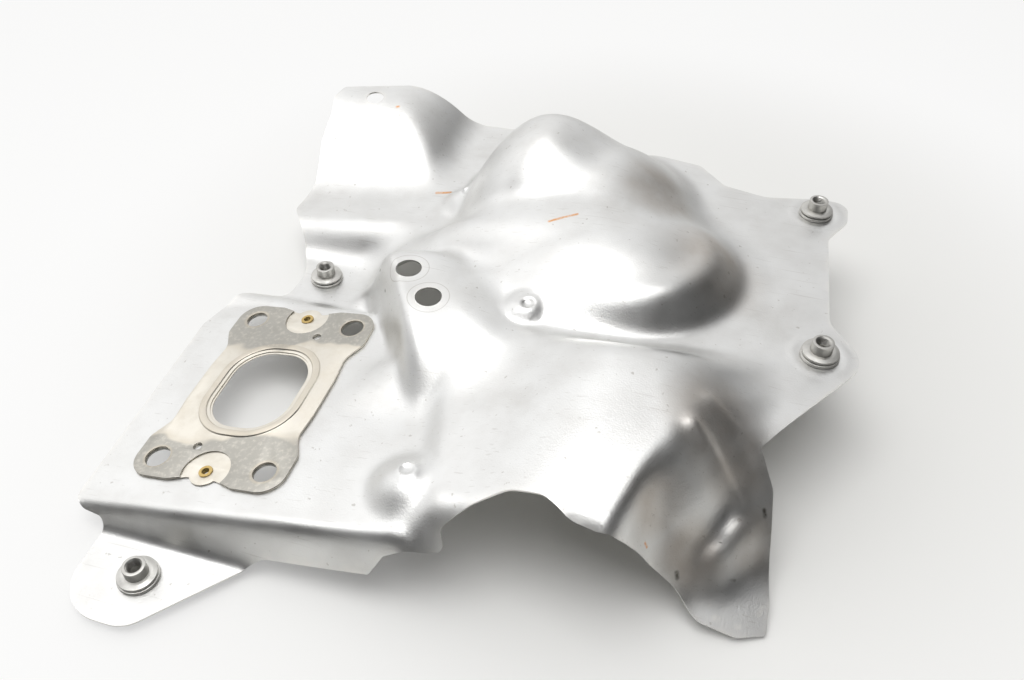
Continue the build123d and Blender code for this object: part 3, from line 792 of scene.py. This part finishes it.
class HEATSHIELD_OT_fasteners(bpy.types.Operator):
    """Turns the threaded sleeves and their washers"""
    bl_idname = "heatshield.fasteners"
    bl_label = "Captive fasteners"

    def execute(self, context):
        settings = context.scene.heatshield_fasteners
        zinc = plain_metal("dull_zinc", settings.zinc, 0.34, 0.5)
        steel = plain_metal("sleeve_zinc", settings.sleeve, 0.3, 0.45)
        for where, at in FASTENERS.items():
            pieces = {"sleeve": (sleeve_profile(), steel, "sleeves")}
            for kind, profile in washer_profiles().items():
                pieces[kind] = (profile, zinc, "washers")
            for kind, (profile, material, slot) in pieces.items():
                piece = turned_piece(f"turned_{where}_{kind}", profile, at, settings.steps)
                piece.data.materials.append(material)
                finish_piece(piece)
                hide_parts(f"{where}_{kind}")
        return {"FINISHED"}


# Stage

def soft_light(name, location, size, power):
    """Area lamp that faces the origin."""
    start_clean()
    bpy.ops.object.light_add(type="AREA", location=location)
    lamp = bpy.context.object
    lamp.name = name
    lamp.data.shape = "RECTANGLE"
    lamp.data.size, lamp.data.size_y = size
    lamp.data.energy = power
    lamp.rotation_euler = (-Vector(location)).to_track_quat("-Z", "Y").to_euler()


def studio_world():
    """White behind the part, and a room that darkens towards the camera for the light and the reflections."""
    world = bpy.data.worlds.new("studio")
    bpy.context.scene.world = world
    world.use_nodes = True
    nodes, links = world.node_tree.nodes, world.node_tree.links
    nodes.clear()
    direction = nodes.new("ShaderNodeTexCoord").outputs["Generated"]
    brightest = Vector((-0.58, 0.66, 0.48)).normalized()
    facing = vector_node(nodes, links, "DOT_PRODUCT", direction, brightest).outputs["Value"]
    level = ramp(nodes, links, facing, 0.02, 0.97, 0.07, 1.0)
    room = nodes.new("ShaderNodeBackground")
    links.new(level, room.inputs["Color"])
    white = nodes.new("ShaderNodeBackground")
    white.inputs["Color"].default_value = (1, 1, 1, 1)
    mix = nodes.new("ShaderNodeMixShader")
    links.new(nodes.new("ShaderNodeLightPath").outputs["Is Camera Ray"], mix.inputs["Fac"])
    links.new(room.outputs["Background"], mix.inputs[1])
    links.new(white.outputs["Background"], mix.inputs[2])
    links.new(mix.outputs["Shader"], nodes.new("ShaderNodeOutputWorld").inputs["Surface"])


def floor_material(settings):
    """Pale floor that the camera sees whiter than the light on it, with the part's shadow kept."""
    material, nodes, links, shader = nodes_of("pale_floor")
    shader.inputs["Base Color"].default_value = (*settings.floor, 1)
    shader.inputs["Roughness"].default_value = 0.9
    white = nodes.new("ShaderNodeEmission")
    mix = nodes.new("ShaderNodeMixShader")
    where = nodes.new("ShaderNodeTexCoord").outputs["Object"]
    reach = vector_node(nodes, links, "DISTANCE", where, settings.shadow_centre).outputs["Value"]
    open_floor = ramp(nodes, links, reach, 0.12, 0.30, 0.0, 0.75)
    camera_ray = nodes.new("ShaderNodeLightPath").outputs["Is Camera Ray"]
    links.new(math_node(nodes, links, "MULTIPLY", camera_ray, open_floor), mix.inputs["Fac"])
    links.new(shader.outputs["BSDF"], mix.inputs[1])
    links.new(white.outputs["Emission"], mix.inputs[2])
    links.new(mix.outputs["Shader"], nodes["Material Output"].inputs["Surface"])
    return material


class HEATSHIELD_OT_stage(bpy.types.Operator):
    """Sets the floor, the lamps, the room and the camera"""
    bl_idname = "heatshield.stage"
    bl_label = "Stage"

    def execute(self, context):
        settings = context.scene.heatshield_stage
        start_clean()
        bpy.ops.mesh.primitive_plane_add(size=8, location=(0, 0, -0.0006))
        floor = context.object
        floor.name = "studio_floor"
        floor.data.materials.append(floor_material(settings))
        soft_light("overhead_softbox", (-0.06, -0.15, 1.1), (1.1, 0.8), settings.key)
        soft_light("left_fill", (-0.95, 0.15, 0.75), (0.9, 0.9), settings.fill)
        studio_world()
        bpy.ops.object.camera_add(location=(0.0785, -0.2678, settings.height),
                                  rotation=(math.pi / 2 - settings.pitch, 0, settings.azimuth))
        camera = context.object
        camera.data.sensor_width = 36
        camera.data.lens = settings.lens
        camera.data.clip_start = 0.01
        context.scene.camera = camera
        context.scene.view_settings.view_transform = "Standard"
        return {"FINISHED"}


class HEATSHIELD_PT_panel(bpy.types.Panel):
    """Lists the pieces and their sizes"""
    bl_idname = "HEATSHIELD_PT_panel"
    bl_label = "Heat shield"
    bl_space_type = "VIEW_3D"
    bl_region_type = "UI"
    bl_category = "Heat shield"

    def draw(self, context):
        for operator, group in STEPS:
            self.layout.operator(f"heatshield.{operator}")
            settings = getattr(context.scene, f"heatshield_{operator}")
            for key in group.__annotations__:
                self.layout.prop(settings, key)


STEPS = [("sheet", SheetSettings), ("gasket", GasketSettings), ("fasteners", FastenerSettings),
         ("stage", StageSettings)]
OPERATORS = [HEATSHIELD_OT_sheet, HEATSHIELD_OT_gasket, HEATSHIELD_OT_fasteners, HEATSHIELD_OT_stage]


def register():
    for name, group in STEPS:
        bpy.utils.register_class(group)
        setattr(bpy.types.Scene, f"heatshield_{name}", PointerProperty(type=group))
    for item in OPERATORS + [HEATSHIELD_PT_panel]:
        bpy.utils.register_class(item)


def unregister():
    for item in [HEATSHIELD_PT_panel] + OPERATORS[::-1]:
        bpy.utils.unregister_class(item)
    for name, group in STEPS[::-1]:
        delattr(bpy.types.Scene, f"heatshield_{name}")
        bpy.utils.unregister_class(group)


def main():
    register()
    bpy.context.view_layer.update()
    bpy.ops.heatshield.sheet()
    bpy.ops.heatshield.gasket()
    bpy.ops.heatshield.fasteners()
    bpy.ops.heatshield.stage()


if __name__ == "__main__":
    main()
